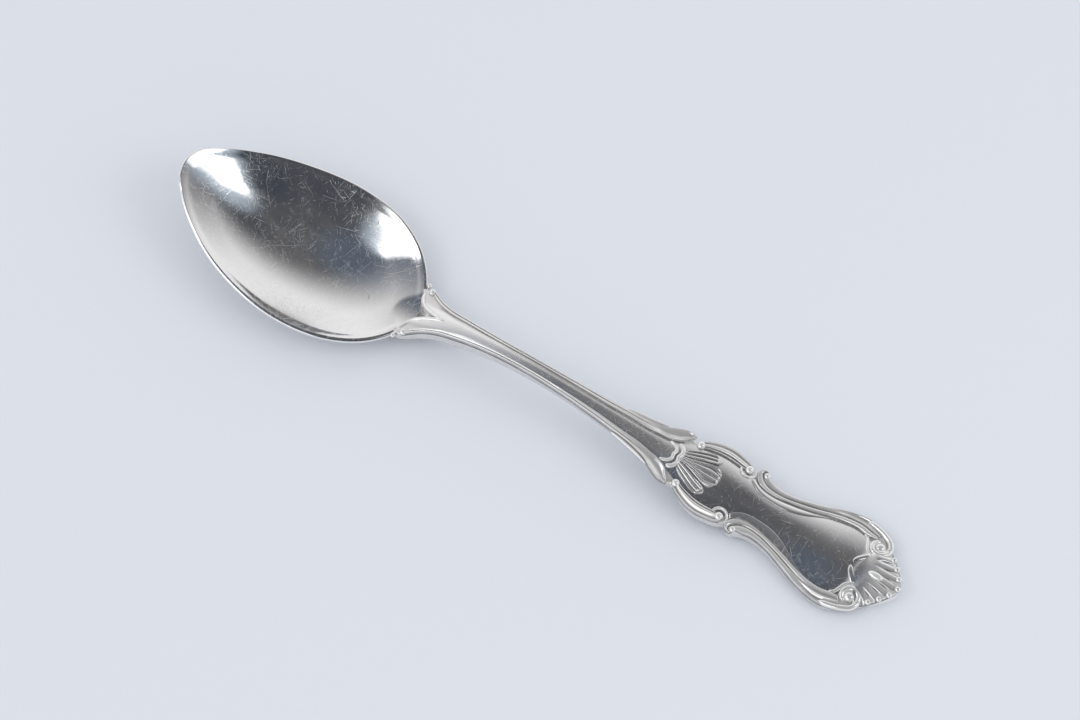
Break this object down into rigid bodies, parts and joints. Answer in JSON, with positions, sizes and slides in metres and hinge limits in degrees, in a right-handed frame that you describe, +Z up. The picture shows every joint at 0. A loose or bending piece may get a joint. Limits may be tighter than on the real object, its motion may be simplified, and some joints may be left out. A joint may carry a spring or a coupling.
{
  "type": "teaspoon",
  "caption": "Polished silver teaspoon with an egg-shaped bowl, an arched narrow stem and a waisted handle with raised rococo scrolls, leaves and a shell at the tip.",
  "frame": {"origin": "middle of the spoon's length and width, on the table it lies on", "axes": "+X from the bowl tip towards the end of the handle, +Z up out of the open bowl, the spoon is the same on both sides of the XZ plane"},
  "size_m": [0.14, 0.029, 0.0139],
  "materials": {
    "silver": "polished silver, lightly scratched, darker in the recesses"
  },
  "bodies": {
    "root": {"bowl": "silver", "stem": "silver", "handle_plate": "silver", "stem_brace": "silver", "collar_leaf_middle": "silver", "tip_shell": "silver", "tip_boss": "silver", "heel_scroll_left": "silver", "heel_scroll_right": "silver", "stem_reed_left": "silver", "stem_reed_right": "silver", "collar_leaf_left": "silver", "collar_leaf_right": "silver", "collar_bead_left": "silver", "collar_bead_right": "silver", "waist_scroll_left": "silver", "waist_scroll_right": "silver", "waist_bead_left": "silver", "waist_bead_right": "silver", "border_scroll_left": "silver", "border_scroll_right": "silver"}
  },
  "joints": []
}
